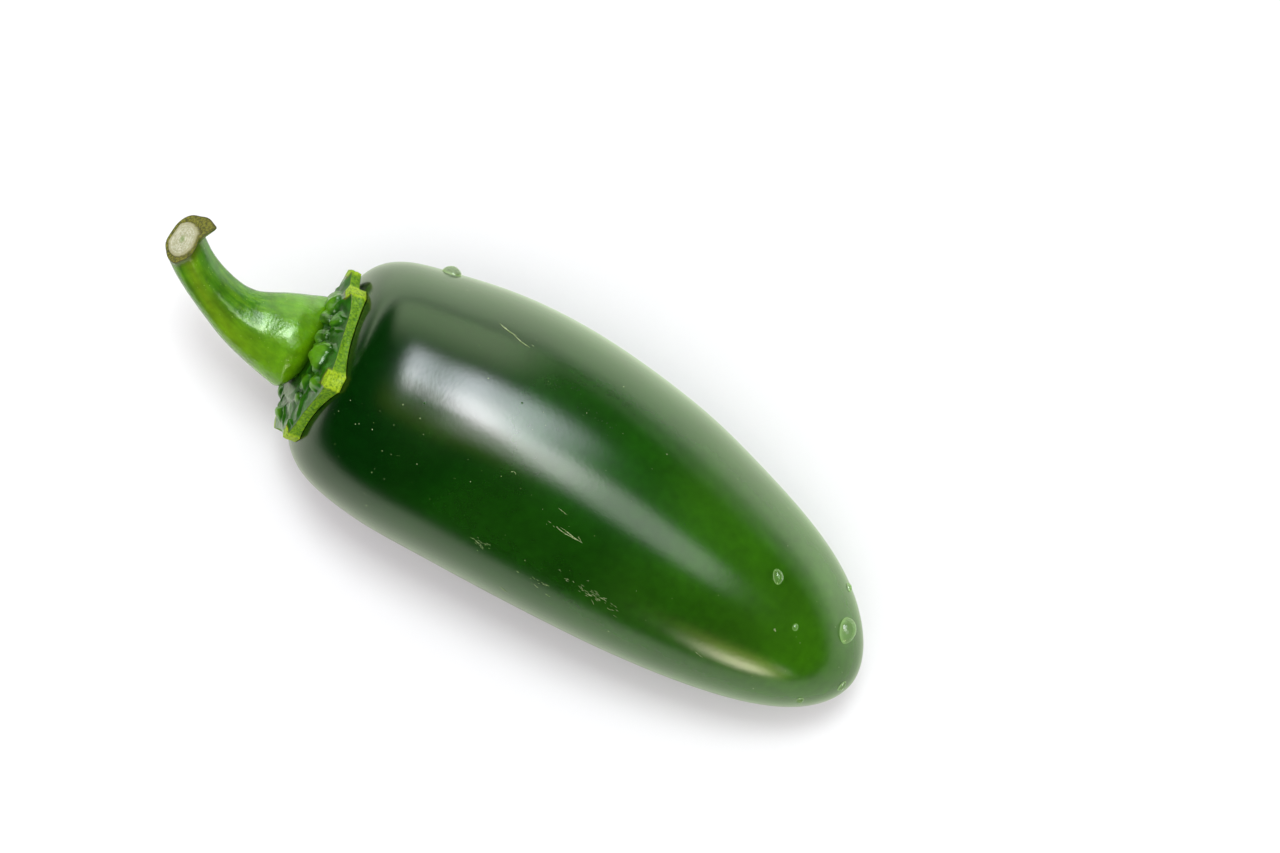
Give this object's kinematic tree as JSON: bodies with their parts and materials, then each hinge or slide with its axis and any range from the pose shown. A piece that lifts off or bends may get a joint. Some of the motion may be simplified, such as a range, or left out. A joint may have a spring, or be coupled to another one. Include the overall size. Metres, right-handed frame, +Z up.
{
  "type": "chilli pepper",
  "caption": "Plump green chilli pepper with a calyx and a curved cut stem, lying on its side; a loose vegetable for kitchens, market crates and still lifes.",
  "frame": {"origin": "middle of the bounding box on the surface that the chilli lies on", "axes": "+X along the pod towards its tip, +Z up from the surface; the stem is at -X and curves up and towards +Y"},
  "size_m": [0.099, 0.035, 0.0332],
  "materials": {
    "pod_skin": "smooth waxy skin, deep green, with a broad soft gloss",
    "calyx_skin": "knobbly dark green with a bright yellow-green edge, moist",
    "stem_skin": "ribbed yellow-green with a pale fibrous cut end, satin"
  },
  "bodies": {
    "root": {"pod": "pod_skin", "calyx": "calyx_skin", "stem": "stem_skin"}
  },
  "joints": []
}
